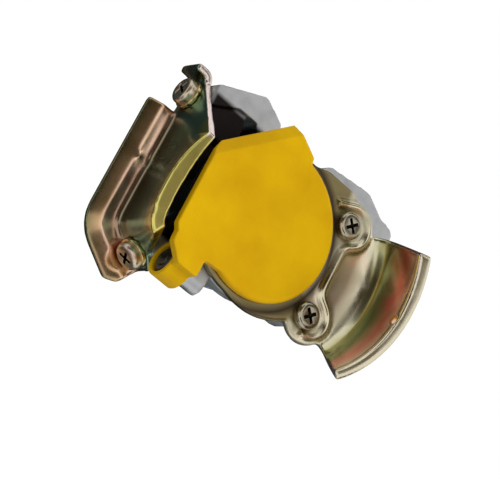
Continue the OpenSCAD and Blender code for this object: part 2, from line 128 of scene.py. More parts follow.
class NodeTree:
    """Short way to add and join shader nodes in a tree."""

    def __init__(self, tree: bpy.types.NodeTree) -> None:
        """Keeps the tree to fill.

        Args:
            tree: a material's, world's or group's node tree.
        """
        self.tree = tree

    def add(self, kind: str, **values: object) -> bpy.types.Node:
        """Adds a node and sets its properties.

        Args:
            kind: Blender's node type.
            values: properties by name.

        Returns:
            The new node.
        """
        node = self.tree.nodes.new(kind)
        for name, value in values.items():
            setattr(node, name, value)
        return node

    def find(self, kind: str) -> bpy.types.Node:
        """First node of a type that the tree starts with."""
        return next(node for node in self.tree.nodes if node.type == kind)

    def join(self, out: Socket, into: Socket) -> None:
        """Links an output to an input."""
        self.tree.links.new(out, into)

    def feed(self, source: Socket | float | tuple[float, ...], into: Socket) -> None:
        """Links an output to an input, or sets the input to a number or a colour."""
        if isinstance(source, Socket):
            self.join(source, into)
        else:
            into.default_value = source

    def place(self) -> Socket:
        """Adds the place on the piece, in its object coordinates."""
        return self.add("ShaderNodeTexCoord").outputs["Object"]

    def compute(self, operation: str, first: Socket, second: Socket | float = 0.0,
                clamp: bool = False) -> Socket:
        """Adds a math node.

        Args:
            operation: Blender's name of the operation.
            first: first operand.
            second: second operand, where there is one.
            clamp: whether the result is kept between 0 and 1.

        Returns:
            The result's socket.
        """
        node = self.add("ShaderNodeMath", operation=operation, use_clamp=clamp)
        self.join(first, node.inputs[0])
        self.feed(second, node.inputs[1])
        return node.outputs[0]

    def noise(self, coords: Socket, scale: Socket | float, detail: float = 2.0, twist: float = 0.0) -> Socket:
        """Adds a noise texture.

        Args:
            coords: vector that the noise is read at.
            scale: features per metre.
            detail: octaves.
            twist: distortion of the noise.

        Returns:
            The noise's value socket.
        """
        node = self.add("ShaderNodeTexNoise")
        node.inputs["Detail"].default_value = detail
        node.inputs["Distortion"].default_value = twist
        self.feed(scale, node.inputs["Scale"])
        self.join(coords, node.inputs["Vector"])
        return node.outputs["Fac"]

    def ramp(self, value: Socket, stops: Bands) -> Socket:
        """Adds a colour ramp.

        Args:
            value: socket that drives the ramp.
            stops: places and colours.

        Returns:
            The ramp's colour socket.
        """
        node = self.add("ShaderNodeValToRGB")
        elements = node.color_ramp.elements
        while len(elements) < len(stops):
            elements.new(0.5)
        for element, (place, colour) in zip(elements, stops):
            element.position = place
            element.color = rgba(colour)
        self.join(value, node.inputs["Fac"])
        return node.outputs["Color"]

    def span(self, value: Socket, low: float, high: float,
             from_low: float = NOISE_LOW, from_high: float = NOISE_HIGH) -> Socket:
        """Maps a value to a range.

        Args:
            value: socket to map.
            low: result at from_low.
            high: result at from_high.
            from_low: lower end of the source range.
            from_high: upper end of the source range.

        Returns:
            The mapped value's socket.
        """
        node = self.add("ShaderNodeMapRange")
        limits = {"From Min": from_low, "From Max": from_high, "To Min": low, "To Max": high}
        for name, number in limits.items():
            node.inputs[name].default_value = number
        self.join(value, node.inputs["Value"])
        return node.outputs["Result"]

    def blend(self, mask: Socket | float, tone: Socket, other: Socket | Colour) -> Socket:
        """Blends two colours.

        Args:
            mask: share of the other colour.
            tone: colour where the mask is 0.
            other: colour where it is 1.

        Returns:
            The blended colour's socket.
        """
        node = self.add("ShaderNodeMix", data_type="RGBA")
        self.feed(mask, node.inputs["Factor"])
        self.join(tone, node.inputs[COLOUR_A])
        self.feed(other if isinstance(other, Socket) else rgba(other), node.inputs[COLOUR_B])
        return node.outputs[COLOUR_OUT]

    def mix_shaders(self, share: Socket, first: bpy.types.Node, second: bpy.types.Node, out: str) -> None:
        """Mixes two shaders into the tree's output.

        Args:
            share: share of the second shader.
            first: shader where the share is 0.
            second: shader where it is 1.
            out: type of the output node.
        """
        mix = self.add("ShaderNodeMixShader")
        for place, socket in enumerate((share, first.outputs[0], second.outputs[0])):
            self.join(socket, mix.inputs[place])
        self.join(mix.outputs[0], self.find(out).inputs["Surface"])

    def background_rays(self) -> Socket:
        """Adds a mask of the rays that see the white background: camera, mirror and see-through rays.

        Returns:
            The mask's socket, 0 or 1.
        """
        path = self.add("ShaderNodeLightPath")
        mask = path.outputs["Is Camera Ray"]
        for name in ("Is Glossy Ray", "Is Transmission Ray"):
            mask = self.compute("MAXIMUM", mask, path.outputs[name])
        return mask


class EffectGroups:
    """Node groups that several finishes share."""

    # Colours of yellow zinc plating over the cloudy noise: green, straw, pale, copper and rose.
    DRIFT: Bands = (
        (0.30, (0.33, 0.40, 0.17)), (0.42, (0.62, 0.52, 0.27)), (0.52, (0.72, 0.63, 0.40)),
        (0.62, (0.76, 0.46, 0.26)), (0.72, (0.66, 0.34, 0.30)))
    DRIFT_TWIST = 0.8
    SMEAR_SCALE = 110.0
    FINE_DETAIL = 3.0
    BROAD_DETAIL = 4.0

    def __init__(self) -> None:
        """Builds each group once."""
        self.plating = self.make_plating()
        self.grain = self.make_grain()
        self.recess = self.make_recess()

    @staticmethod
    def start(name: str, inputs: dict[str, float],
              outputs: dict[str, str]) -> tuple[NodeTree, bpy.types.Node, bpy.types.Node]:
        """Makes an empty group with named sockets.

        Args:
            name: name of the group.
            inputs: float inputs with their defaults.
            outputs: output names with their socket types.

        Returns:
            The tree, its group input node and its group output node.
        """
        tree = bpy.data.node_groups.new(name, "ShaderNodeTree")
        for label, value in inputs.items():
            socket = tree.interface.new_socket(label, in_out="INPUT", socket_type="NodeSocketFloat")
            socket.default_value = value
        for label, kind in outputs.items():
            tree.interface.new_socket(label, in_out="OUTPUT", socket_type=kind)
        nodes = NodeTree(tree)
        return nodes, nodes.add("NodeGroupInput"), nodes.add("NodeGroupOutput")

    def make_plating(self) -> bpy.types.NodeTree:
        """Cloudy colour of yellow zinc plating, and a band that climbs its height and wanders.

        Returns:
            The group, with Tint, Band and Smear outputs.
        """
        nodes, given, result = self.start(
            "Plating drift", {"Size": 60.0, "Low": 0.0, "High": 0.05, "Wander": 0.3},
            {"Tint": "NodeSocketColor", "Band": "NodeSocketFloat", "Smear": "NodeSocketFloat"})
        place = nodes.place()
        cloud = nodes.noise(place, given.outputs["Size"], twist=self.DRIFT_TWIST)
        nodes.join(nodes.ramp(cloud, self.DRIFT), result.inputs["Tint"])
        axes = nodes.add("ShaderNodeSeparateXYZ")
        nodes.join(place, axes.inputs[0])
        climb = nodes.add("ShaderNodeMapRange", clamp=False)
        nodes.join(axes.outputs["Z"], climb.inputs["Value"])
        nodes.join(given.outputs["Low"], climb.inputs["From Min"])
        nodes.join(given.outputs["High"], climb.inputs["From Max"])
        sway = nodes.compute("MULTIPLY", nodes.span(cloud, -0.5, 0.5), given.outputs["Wander"])
        band = nodes.compute("ADD", climb.outputs["Result"], sway, clamp=True)
        nodes.join(band, result.inputs["Band"])
        nodes.join(nodes.noise(place, self.SMEAR_SCALE), result.inputs["Smear"])
        return nodes.tree

    def make_grain(self) -> bpy.types.NodeTree:
        """Fine uneven grain of a cast, moulded or rolled surface.

        Returns:
            The group, with Height and Patch outputs.
        """
        nodes, given, result = self.start(
            "Surface grain", {"Fine": 1800.0, "Broad": 120.0, "Blend": 0.35},
            {"Height": "NodeSocketFloat", "Patch": "NodeSocketFloat"})
        place = nodes.place()
        fine = nodes.noise(place, given.outputs["Fine"], self.FINE_DETAIL)
        broad = nodes.noise(place, given.outputs["Broad"], self.BROAD_DETAIL)
        mix = nodes.add("ShaderNodeMix", data_type="FLOAT")
        nodes.join(given.outputs["Blend"], mix.inputs["Factor"])
        nodes.join(fine, mix.inputs[FLOAT_A])
        nodes.join(broad, mix.inputs[FLOAT_B])
        nodes.join(mix.outputs[FLOAT_OUT], result.inputs["Height"])
        nodes.join(broad, result.inputs["Patch"])
        return nodes.tree

    def make_recess(self) -> bpy.types.NodeTree:
        """Painted shade inside a soft-edged box.

        Returns:
            The group, whose one output is the mask of the painted shade.
        """
        sides = ("X from", "X to", "Y from", "Y to", "Z from", "Z to")
        nodes, given, result = self.start(
            "Recess painted shade", {**{side: 0.0 for side in sides}, "Soft": 0.002}, {"Painted shade mask": "NodeSocketFloat"})
        axes = nodes.add("ShaderNodeSeparateXYZ")
        nodes.join(nodes.place(), axes.inputs[0])
        painted_shade = None
        for side in sides:
            place, limit = axes.outputs[side[0]], given.outputs[side]
            order = (place, limit) if side.endswith("from") else (limit, place)
            edge = nodes.add("ShaderNodeMapRange", interpolation_type="SMOOTHSTEP")
            nodes.join(nodes.compute("SUBTRACT", *order), edge.inputs["Value"])
            nodes.join(given.outputs["Soft"], edge.inputs["From Max"])
            inside = edge.outputs["Result"]
            painted_shade = inside if painted_shade is None else nodes.compute("MULTIPLY", painted_shade, inside)
        nodes.join(painted_shade, result.inputs["Painted shade mask"])
        return nodes.tree


def blank_material(name: str) -> tuple[bpy.types.Material, NodeTree, bpy.types.Node]:
    """Makes a material with one principled shader.

    Args:
        name: name of the material.

    Returns:
        The material, its node tree and its shader.
    """
    material = bpy.data.materials.new(name)
    material.use_nodes = True
    nodes = NodeTree(material.node_tree)
    return material, nodes, nodes.find("BSDF_PRINCIPLED")


def paint_shade(nodes: NodeTree, groups: EffectGroups, tone: Socket, box: Box, painted_shade: Colour) -> Socket:
    """Paints shade: changes a colour to a darker one inside a soft-edged box.

    Args:
        nodes: the material's tree.
        groups: the shared effects.
        tone: the colour without the painted shade.
        box: from and to along X, Y and Z, in mm.
        painted_shade: colour of the painted shade inside the box.

    Returns:
        The changed colour's socket.
    """
    recess = nodes.add("ShaderNodeGroup", node_tree=groups.recess)
    for socket, value in zip(recess.inputs, box):
        socket.default_value = value * MM
    return nodes.blend(recess.outputs["Painted shade mask"], tone, painted_shade)


@dataclass(frozen=True)
class Grain:
    """Fine relief of a surface, from a fine and a broad noise."""

    strength: float
    fine: float = 1800.0
    broad: float = 120.0
    blend: float = 0.35

    def add(self, nodes: NodeTree, shader: bpy.types.Node, groups: EffectGroups) -> bpy.types.Node:
        """Adds the grain group and a bump to a shader.

        Args:
            nodes: the material's tree.
            shader: its shader.
            groups: the shared effects.

        Returns:
            The group's node.
        """
        grain = nodes.add("ShaderNodeGroup", node_tree=groups.grain)
        for label, value in (("Fine", self.fine), ("Broad", self.broad), ("Blend", self.blend)):
            grain.inputs[label].default_value = value
        bump = nodes.add("ShaderNodeBump")
        bump.inputs["Strength"].default_value = self.strength
        bump.inputs["Distance"].default_value = GRAIN_HEIGHT
        nodes.join(grain.outputs["Height"], bump.inputs["Height"])
        nodes.join(bump.outputs["Normal"], shader.inputs["Normal"])
        return grain


@dataclass(frozen=True)
class PlatedFinish:
    """Zinc-plated steel whose tint drifts over the surface and in bands up its height.

    Heights, boxes and radii are in mm. The bands run from low to high, and share is their part of the tint.
    Below flat_top the surface is at least flat_rough. On the claw and the guide the bands are painted
    shade and reflection laid by height. films are boxes of painted shade in shade_box_tone, lid_shadow_r and
    lid_shadow_w place a painted shadow of the lid in a circle about the Z axis, and marked is the tint of the
    points that the piece marks.
    """

    name: str
    bands: Bands
    low: float
    high: float
    share: float = 0.65
    drift_size: float = 55.0
    wander: float = 0.12
    rough_low: float = 0.1
    rough_high: float = 0.17
    flat_rough: float = 0.0
    flat_top: float = 0.0
    flat_fade: float = 0.12
    grain: Grain = Grain(0.05, 130.0, 45.0, 0.6)
    marked: Colour | None = None
    shade_boxes: tuple[Box, ...] = ()
    shade_box_tone: Colour = (0.33, 0.27, 0.13)
    # Painted shadow of the lid on the plate: radius, width and colour of a dark circle about the Z axis.
    lid_shadow_r: float = 0.0
    lid_shadow_w: float = 2.4
    lid_shadow_tone: Colour = (0.07, 0.05, 0.03)

    def make(self, groups: EffectGroups) -> bpy.types.Material:
        """Makes the material.

        Args:
            groups: the shared effects.

        Returns:
            The material.
        """
        material, nodes, shader = blank_material(self.name)
        shader.inputs["Metallic"].default_value = 1.0
        plating = nodes.add("ShaderNodeGroup", node_tree=groups.plating)
        for label, value in (("Size", self.drift_size), ("Low", self.low * MM), ("High", self.high * MM),
                             ("Wander", self.wander)):
            plating.inputs[label].default_value = value
        nodes.join(self.tint(nodes, groups, plating), shader.inputs["Base Color"])
        nodes.join(self.roughness(nodes, plating), shader.inputs["Roughness"])
        self.grain.add(nodes, shader, groups)
        return material

    def level(self, height: float) -> float:
        """Place of a height between low and high, from 0 to 1."""
        return (height - self.low) / (self.high - self.low)

    def tint(self, nodes: NodeTree, groups: EffectGroups, plating: bpy.types.Node) -> Socket:
        """Adds the colour, with its bands, the painted shade of the films and of the ring, and marked points.

        Args:
            nodes: the material's tree.
            groups: the shared effects.
            plating: the node of the plating group.

        Returns:
            The colour's socket.
        """
        stops = tuple((self.level(height), colour) for height, colour in self.bands)
        bands = nodes.ramp(plating.outputs["Band"], stops)
        tint = nodes.blend(self.share, plating.outputs["Tint"], bands)
        # Painted shade in each box.
        for box in self.shade_boxes:
            tint = paint_shade(nodes, groups, tint, box, self.shade_box_tone)
        # Painted shadow of the lid, a dark line round it.
        if self.lid_shadow_r:
            tint = nodes.blend(self.lid_shadow_line(nodes), tint, self.lid_shadow_tone)
        if self.marked:
            mark = nodes.add("ShaderNodeAttribute", attribute_name=MARK)
            tint = nodes.blend(mark.outputs["Fac"], tint, self.marked)
        return tint

    def roughness(self, nodes: NodeTree, plating: bpy.types.Node) -> Socket:
        """Adds the roughness, which is smeared and higher on the flat below flat_top.

        Args:
            nodes: the material's tree.
            plating: the node of the plating group.

        Returns:
            The roughness's socket.
        """
        rough = nodes.span(plating.outputs["Smear"], self.rough_low, self.rough_high)
        if not self.flat_rough:
            return rough
        edge = self.level(self.flat_top)
        flat = nodes.span(plating.outputs["Band"], self.flat_rough, 0.0, edge, edge + self.flat_fade)
        return nodes.compute("MAXIMUM", rough, flat)

    def lid_shadow_line(self, nodes: NodeTree) -> Socket:
        """Adds a mask of the lid's painted shadow, a circle about the Z axis.

        Args:
            nodes: the material's tree.

        Returns:
            The mask's socket.
        """
        flat = nodes.add("ShaderNodeVectorMath", operation="MULTIPLY")
        flat.inputs[1].default_value = (1.0, 1.0, 0.0)
        nodes.join(nodes.place(), flat.inputs[0])
        reach = nodes.add("ShaderNodeVectorMath", operation="LENGTH")
        nodes.join(flat.outputs[0], reach.inputs[0])
        off = nodes.compute("SUBTRACT", reach.outputs["Value"], self.lid_shadow_r * MM)
        return nodes.span(nodes.compute("ABSOLUTE", off), 1.0, 0.0, 0.0, self.lid_shadow_w * MM)


@dataclass(frozen=True)
class GrainedFinish:
    """Cast, moulded or bare surface with patchy colour, a fine grain and painted shade in a recess box."""

    name: str
    dark: Colour
    light: Colour
    grain: Grain
    metallic: float = 0.0
    rough_low: float = 0.4
    rough_high: float = 0.55
    shine: float = 0.5
    recess: Box | None = None
    # Colour of the painted shade in the recess box.
    painted_shade: Colour = (0.022, 0.017, 0.016)

    def make(self, groups: EffectGroups) -> bpy.types.Material:
        """Makes the material.

        Args:
            groups: the shared effects.

        Returns:
            The material.
        """
        material, nodes, shader = blank_material(self.name)
        shader.inputs["Metallic"].default_value = self.metallic
        shader.inputs["Specular IOR Level"].default_value = self.shine
        patch = self.grain.add(nodes, shader, groups).outputs["Patch"]
        tone = nodes.ramp(patch, ((NOISE_LOW, self.dark), (NOISE_HIGH, self.light)))
        # Painted shade inside the recess box.
        if self.recess:
            tone = paint_shade(nodes, groups, tone, self.recess, self.painted_shade)
        nodes.join(tone, shader.inputs["Base Color"])
        nodes.join(nodes.span(patch, self.rough_low, self.rough_high), shader.inputs["Roughness"])
        return material


# Painted shade in the screws' cross recesses: a near-black colour.
SCREW_RECESS_SHADE: Colour = (0.018, 0.014, 0.012)
# Painted shade boxes on the claw plate: the ring round the seal, and the upper and lower screw pockets.
CLAW_SHADE_BOXES: tuple[Box, ...] = (
    (-40.0, 24.0, -40.0, 40.0, 36.0, 46.0),
    (20.5, 31.5, 11.5, 22.5, 36.0, 43.0),
    (21.5, 33.0, -20.5, -9.5, 36.0, 43.0))
# Painted shade on the casting, in the hollow between the guide's arms and the neck, where shade falls.
NECK_SHADE_BOX: Box = (-31.0, -5.0, -20.0, 29.6, 17.0, 37.0)

# Pale land, gutter in painted green and brown shade, and painted red and rose reflections below the lip.
CLAW_PLATING_WITH_PAINTED_LIGHT = PlatedFinish(
    "claw plating with painted light", low=40.0, high=64.0, share=0.8, rough_low=0.17, rough_high=0.24, flat_rough=0.42,
    # Painted shade in boxes and a painted shadow round the lid; the lip's outer face keeps a plain marked
    # tone.
    flat_top=41.2, shade_boxes=CLAW_SHADE_BOXES, marked=(0.62, 0.53, 0.31), lid_shadow_r=27.0,
    bands=(
        (40.0, (0.66, 0.61, 0.46)), (42.5, (0.74, 0.68, 0.51)), (44.5, (0.44, 0.46, 0.22)),
        (48.0, (0.16, 0.24, 0.09)), (52.0, (0.34, 0.20, 0.09)), (56.0, (0.78, 0.14, 0.12)),
        (60.0, (0.78, 0.46, 0.36)), (63.0, (0.72, 0.66, 0.52))))
# Brown flare, floor with a painted copper-pink sheen, wall in painted dark green shade, olive flange.
GUIDE_PLATING_WITH_PAINTED_LIGHT = PlatedFinish(
    "guide plating with painted light", low=15.0, high=42.2, share=0.88, wander=0.03, rough_low=0.2, rough_high=0.28,
    # Painted highlight on the upper rim's upward-facing points, which the piece marks.
    marked=(0.86, 0.72, 0.66),
    bands=(
        (15.2, (0.13, 0.15, 0.07)), (16.0, (0.34, 0.24, 0.12)), (17.2, (0.58, 0.36, 0.18)),
        (18.0, (0.92, 0.60, 0.44)), (18.5, (0.42, 0.25, 0.17)), (20.2, (0.13, 0.15, 0.10)),
        (27.0, (0.11, 0.27, 0.21)), (35.0, (0.14, 0.30, 0.20)), (38.5, (0.48, 0.43, 0.08)),
        (42.2, (0.71, 0.63, 0.16))))
CLAW_SCREW_PLATING = PlatedFinish(
    "claw screw plating", low=41.0, high=44.0, share=0.9, drift_size=160.0, wander=0.05, rough_low=0.18,
    rough_high=0.3, marked=SCREW_RECESS_SHADE,
    bands=((41.0, (0.26, 0.24, 0.18)), (42.6, (0.28, 0.26, 0.19)), (43.6, (0.38, 0.35, 0.27))))
GUIDE_SCREW_PLATING = PlatedFinish(
    "guide screw plating", low=14.0, high=30.0, drift_size=160.0, rough_low=0.28, rough_high=0.4,
    marked=SCREW_RECESS_SHADE,
    bands=((14.0, (0.66, 0.46, 0.38)), (22.0, (0.66, 0.54, 0.46)), (30.0, (0.62, 0.52, 0.40))))
WASHER_PLATING = PlatedFinish(
    "washer plating", low=14.0, high=28.0, drift_size=120.0,
    bands=((14.0, (0.66, 0.42, 0.20)), (28.0, (0.70, 0.56, 0.26))))
CAST_ALUMINIUM = GrainedFinish(
    "cast aluminium", (0.50, 0.51, 0.52), (0.68, 0.69, 0.70), Grain(0.22, 1500.0, 160.0), metallic=1.0,
    rough_low=0.42, rough_high=0.6, recess=NECK_SHADE_BOX)
YELLOW_MOULDING = GrainedFinish(
    "yellow moulding", (0.67, 0.36, 0.001), (0.81, 0.48, 0.001), Grain(0.05, 2600.0, 60.0),
    rough_low=0.30, rough_high=0.42, shine=0.12)
SEAL_RUBBER = GrainedFinish(
    "seal rubber", (0.012, 0.012, 0.013), (0.03, 0.03, 0.031), Grain(0.15), rough_low=0.5, rough_high=0.7)
OILED_STEEL = GrainedFinish(
    "oiled steel", (0.13, 0.11, 0.11), (0.24, 0.21, 0.2), Grain(0.05), metallic=1.0,
    rough_low=0.25, rough_high=0.42)


@dataclass
class RoundedPiece:
    """Visual piece made from a copy of a CAD node, with its edges rounded and its facets smoothed.

    The edge is the bevel's width in mm, and edges sharper than limit, in degrees, get one.
    """

    node: str
    body: Body
    slot: Slot
    edge: float = 0.3
    limit: float = 32.0
    segments: int = 3

    def build(self, material: bpy.types.Material) -> bpy.types.Object:
        """Copies the node, rounds the copy and dresses it.

        Args:
            material: finish of the piece.

        Returns:
            The new piece.
        """
        piece = self.copy_node()
        self.clean()
        self.round_edges(piece)
        piece.data.materials.clear()
        piece.data.materials.append(material)
        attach(piece, self.body.value)
        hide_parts(self.node)
        LOG.info("%s: %d faces", piece.name, len(piece.data.polygons))
        return piece

    def copy_node(self) -> bpy.types.Object:
        """Copies the CAD node with a mesh of its own.

        Returns:
            The copy, which is the active object.
        """
        deselect_all()
        source = frame["nodes"][self.node]
        source.select_set(True)
        bpy.context.view_layer.objects.active = source
        bpy.ops.object.duplicate(linked=False)
        piece = bpy.context.view_layer.objects.active
        bpy.ops.object.parent_clear(type="CLEAR_KEEP_TRANSFORM")
        piece.name = "visual_" + self.node
        piece.data.name = piece.name
        return piece

    @staticmethod
    def clean() -> None:
        """Merges the active object's loose triangles and joins flat ones into whole faces."""
        bpy.ops.object.mode_set(mode="EDIT")
        bpy.ops.mesh.select_all(action="SELECT")
        bpy.ops.mesh.customdata_custom_splitnormals_clear()
        bpy.ops.mesh.remove_doubles(threshold=MERGE_DISTANCE)
        bpy.ops.mesh.dissolve_limited(angle_limit=math.radians(FLAT_ANGLE))
        bpy.ops.mesh.normals_make_consistent(inside=False)
        bpy.ops.object.mode_set(mode="OBJECT")

    def round_edges(self, piece: bpy.types.Object) -> None:
        """Bevels the sharp edges and shades the rest smooth."""
        bevel = piece.modifiers.new("edge", "BEVEL")
        bevel.width = self.edge * MM
        bevel.segments = self.segments
        bevel.limit_method = "ANGLE"
        bevel.angle_limit = math.radians(self.limit)
        bevel.use_clamp_overlap = True
        bpy.ops.object.modifier_apply(modifier=bevel.name)
        bpy.ops.object.shade_smooth_by_angle(angle=math.radians(self.limit))

    @staticmethod
    def set_marks(piece: bpy.types.Object, marks: list[float]) -> None:
        """Keeps a value for each point, for the finish to read."""
        mark = piece.data.attributes.new(MARK, "FLOAT", "POINT")
        mark.data.foreach_set("value", marks)


@dataclass
class ScrewPiece(RoundedPiece):
    """Screw whose drive recess is marked for painted shade.

    The recess lies within reach of the axis, from shallow to deep under the screw's top, in mm.
    """

    axis: Point = (0.0, 0.0, 1.0)
    reach: float = 3.0
    shallow: float = 0.15
    deep: float = 2.5

    def round_edges(self, piece: bpy.types.Object) -> None:
        """Rounds the screw and marks the points inside its cross."""
        super().round_edges(piece)
        axis = Vector(self.axis).normalized()
        points = [piece.matrix_world @ vertex.co / MM for vertex in piece.data.vertices]
        low = Vector(min(point[i] for point in points) for i in range(3))
        high = Vector(max(point[i] for point in points) for i in range(3))
        middle = (low + high) / 2
        top = max(point.dot(axis) for point in points)
        marks = []
        for point in points:
            depth = top - point.dot(axis)
            aside = (point - middle) - axis * (point - middle).dot(axis)
            inside = aside.length < self.reach and self.shallow < depth < self.deep
            marks.append(1.0 if inside else 0.0)
        self.set_marks(piece, marks)


@dataclass
class SoftPiece(RoundedPiece):
    """Pressed, cast or moulded piece: its copy is remeshed and relaxed, so that inner corners round off too.

    The cell is the remeshed faces' size in mm.
    """

    cell: float = 0.32
    passes: int = 10

    def round_edges(self, piece: bpy.types.Object) -> None:
        """Remeshes the copy, relaxes it and shades it smooth."""
        remesh = piece.modifiers.new("cells", "REMESH")
        remesh.mode = "VOXEL"
        remesh.voxel_size = self.cell * MM
        relax = piece.modifiers.new("relax", "SMOOTH")
        relax.factor = RELAX_SHARE
        relax.iterations = self.passes
        for modifier in (remesh, relax):
            bpy.ops.object.modifier_apply(modifier=modifier.name)
        bpy.ops.object.shade_smooth()

    @staticmethod
    def relax_where(piece: bpy.types.Object, weights: list[float], passes: int) -> None:
        """Relaxes some of the points further.

        Args:
            piece: the piece, which is the active object.
            weights: share of the relaxing for each point, from 0 to 1.
            passes: number of passes.
        """
        group = piece.vertex_groups.new(name="relaxed")
        for place, weight in enumerate(weights):
            if weight > 0.0:
                group.add([place], weight, "REPLACE")
        relax = piece.modifiers.new("relax more", "SMOOTH")
        relax.factor = RELAX_SHARE
        relax.iterations = passes
        relax.vertex_group = group.name
        bpy.ops.object.modifier_apply(modifier=relax.name)
        piece.vertex_groups.clear()


@dataclass
class ClawPiece(SoftPiece):
    """Claw plate, with the outer face of its lip marked for a plain plating tone, not the painted bands.

    The marks fade in over lip_fade above lip_z, in mm, and as the face leans outward from lean[0] to lean[1].
    """

    lip_z: float = 42.0
    lip_fade: float = 3.0
    lean: tuple[float, float] = (0.1, 0.5)
    share: float = 0.7

    def round_edges(self, piece: bpy.types.Object) -> None:
        """Softens the plate and marks where its lip faces away from the seal."""
        super().round_edges(piece)
        self.set_marks(piece, [self.outer_share(vertex) for vertex in piece.data.vertices])

    def outer_share(self, vertex: bpy.types.MeshVertex) -> float:
        """How far a point lies on the lip's outer face, from 0 to share."""
        outward = Vector((vertex.co.x, vertex.co.y, 0.0)).normalized().dot(vertex.normal)
        above = fade(vertex.co.z / MM, self.lip_z, self.lip_z + self.lip_fade)
        return self.share * fade(outward, *self.lean) * above


@dataclass
class GuidePiece(SoftPiece):
    """Guide bracket, with a wide bend from floor to wall, and its upper rim marked for a painted highlight.

    Sizes are in mm. The wall stands at web_x, and past bend_at it turns by bend_turn degrees. Pairs are the
    start and the end of a fade: bend_edge in from the floor's edge, bend_back behind the wall's face,
    bend_under below the floor, and rim_lean of the rim's upward lean.
    """

    web_x: float = -33.0
    bend_at: tuple[float, float] = (-33.0, -22.0)
    bend_turn: float = 30.0
    floor_z: float = 18.0
    floor_w: float = 5.0
    bend_h: float = 5.0
    bend_fade: float = 1.5
    bend_edge: tuple[float, float] = (0.8, 1.8)
    bend_back: tuple[float, float] = (-1.0, -0.6)
    bend_under: tuple[float, float] = (0.6, 0.3)
    bend_passes: int = 260
    flange_z: float = 38.0
    flange_fade: float = 2.0
    face_passes: int = 50
    rim_y: float = 8.0
    rim_y_fade: float = 2.0
    rim_z: float = 24.0
    rim_z_fade: float = 1.0
    rim_lean: tuple[float, float] = (0.25, 0.5)

    def round_edges(self, piece: bpy.types.Object) -> None:
        """Softens the bracket, widens its inner bend and marks its rim."""
        super().round_edges(piece)
        vertices = piece.data.vertices
        faces = [fade(v.co.z / MM, self.flange_z, self.flange_z - self.flange_fade) for v in vertices]
        self.relax_where(piece, faces, self.face_passes)
        bend = [self.bend_share(v.co / MM) for v in piece.data.vertices]
        self.relax_where(piece, bend, self.bend_passes)
        self.set_marks(piece, [self.rim_share(v.co / MM, v.normal.z) for v in piece.data.vertices])

    def from_web(self, x: float, y: float) -> float:
        """Distance of a place outside the web, in mm."""
        turn = math.radians(self.bend_turn)
        aside = math.sin(turn) * (x - self.bend_at[0]) + math.cos(turn) * (y - self.bend_at[1])
        return max(self.web_x - x, -aside)

    def bend_share(self, point: Vector) -> float:
        """How far a point lies in the inner bend between the floor and the wall, from 0 to 1."""
        out = self.from_web(point.x, point.y)
        top = self.floor_z + self.bend_h
        edge = fade(out, self.floor_w - self.bend_edge[0], self.floor_w - self.bend_edge[1])
        below = fade(point.z, self.floor_z - self.bend_under[0], self.floor_z - self.bend_under[1])
        return edge * fade(out, *self.bend_back) * fade(point.z, top, top - self.bend_fade) * below

    def rim_share(self, point: Vector, lean: float) -> float:
        """How far a point lies on the upper rim's painted highlight, from 0 to 1."""
        along = fade(point.y, self.rim_y, self.rim_y + self.rim_y_fade)
        above = fade(point.z, self.rim_z, self.rim_z + self.rim_z_fade)
        return along * above * fade(lean, *self.rim_lean)


@dataclass
class ArmShadeWeb:
    """Web, finished as the casting, that fills the corner between the guide's arm and the neck. It is a solid
    put where the hollow is in shade, so that no background shows through, and the neck's painted shade box
    darkens most of it. Sizes are in mm.
    """

    arm_side: tuple[tuple[float, float], ...] = ((-25.0, 16.8), (-14.0, 19.0))
    neck_side: tuple[tuple[float, float], ...] = ((-20.2, 2.5), (-15.5, 9.5))
    low: float = 15.6
    high: float = 25.0
    edge: float = 0.9
    segments: int = 3
    limit: float = 40.0

    def build(self, material: bpy.types.Material) -> bpy.types.Object:
        """Raises the web from a flat outline, rounds it and dresses it.

        Args:
            material: finish of the casting.

        Returns:
            The web.
        """
        deselect_all()
        bpy.ops.mesh.primitive_plane_add(size=1.0)
        web = bpy.context.object
        web.name = "visual_arm_shade_web"
        for point, (x, y) in zip(web.data.vertices, self.arm_side + self.neck_side):
            point.co = (x * MM, y * MM, self.low * MM)
        rise = (0.0, 0.0, (self.high - self.low) * MM)
        bpy.ops.object.mode_set(mode="EDIT")
        bpy.ops.mesh.select_all(action="SELECT")
        bpy.ops.mesh.extrude_region_move(TRANSFORM_OT_translate={"value": rise})
        bpy.ops.mesh.select_all(action="SELECT")
        bpy.ops.mesh.normals_make_consistent(inside=False)
        bpy.ops.mesh.bevel(offset=self.edge * MM, segments=self.segments, affect="EDGES")
        bpy.ops.object.mode_set(mode="OBJECT")
        bpy.ops.object.shade_smooth_by_angle(angle=math.radians(self.limit))
        web.data.materials.append(material)
        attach(web, Body.BASE.value)
        LOG.info("%s: %d faces", web.name, len(web.data.polygons))
        return web


@dataclass
class Casting:
    """Cast body with the web that fills its shaded hollow, and the seal ring in it."""

    cell: float = 0.5
    passes: int = 6
    seal_edge: float = 0.3

    def build(self, groups: EffectGroups) -> None:
        """Builds and dresses the body, the web and the seal ring.

        Args:
            groups: the shared effects.
        """
        aluminium = CAST_ALUMINIUM.make(groups)
        SoftPiece("body", Body.BASE, Slot.CASTING, cell=self.cell, passes=self.passes).build(aluminium)
        ArmShadeWeb().build(aluminium)
        RoundedPiece("seal_ring", Body.BASE, Slot.SEAL, self.seal_edge).build(SEAL_RUBBER.make(groups))


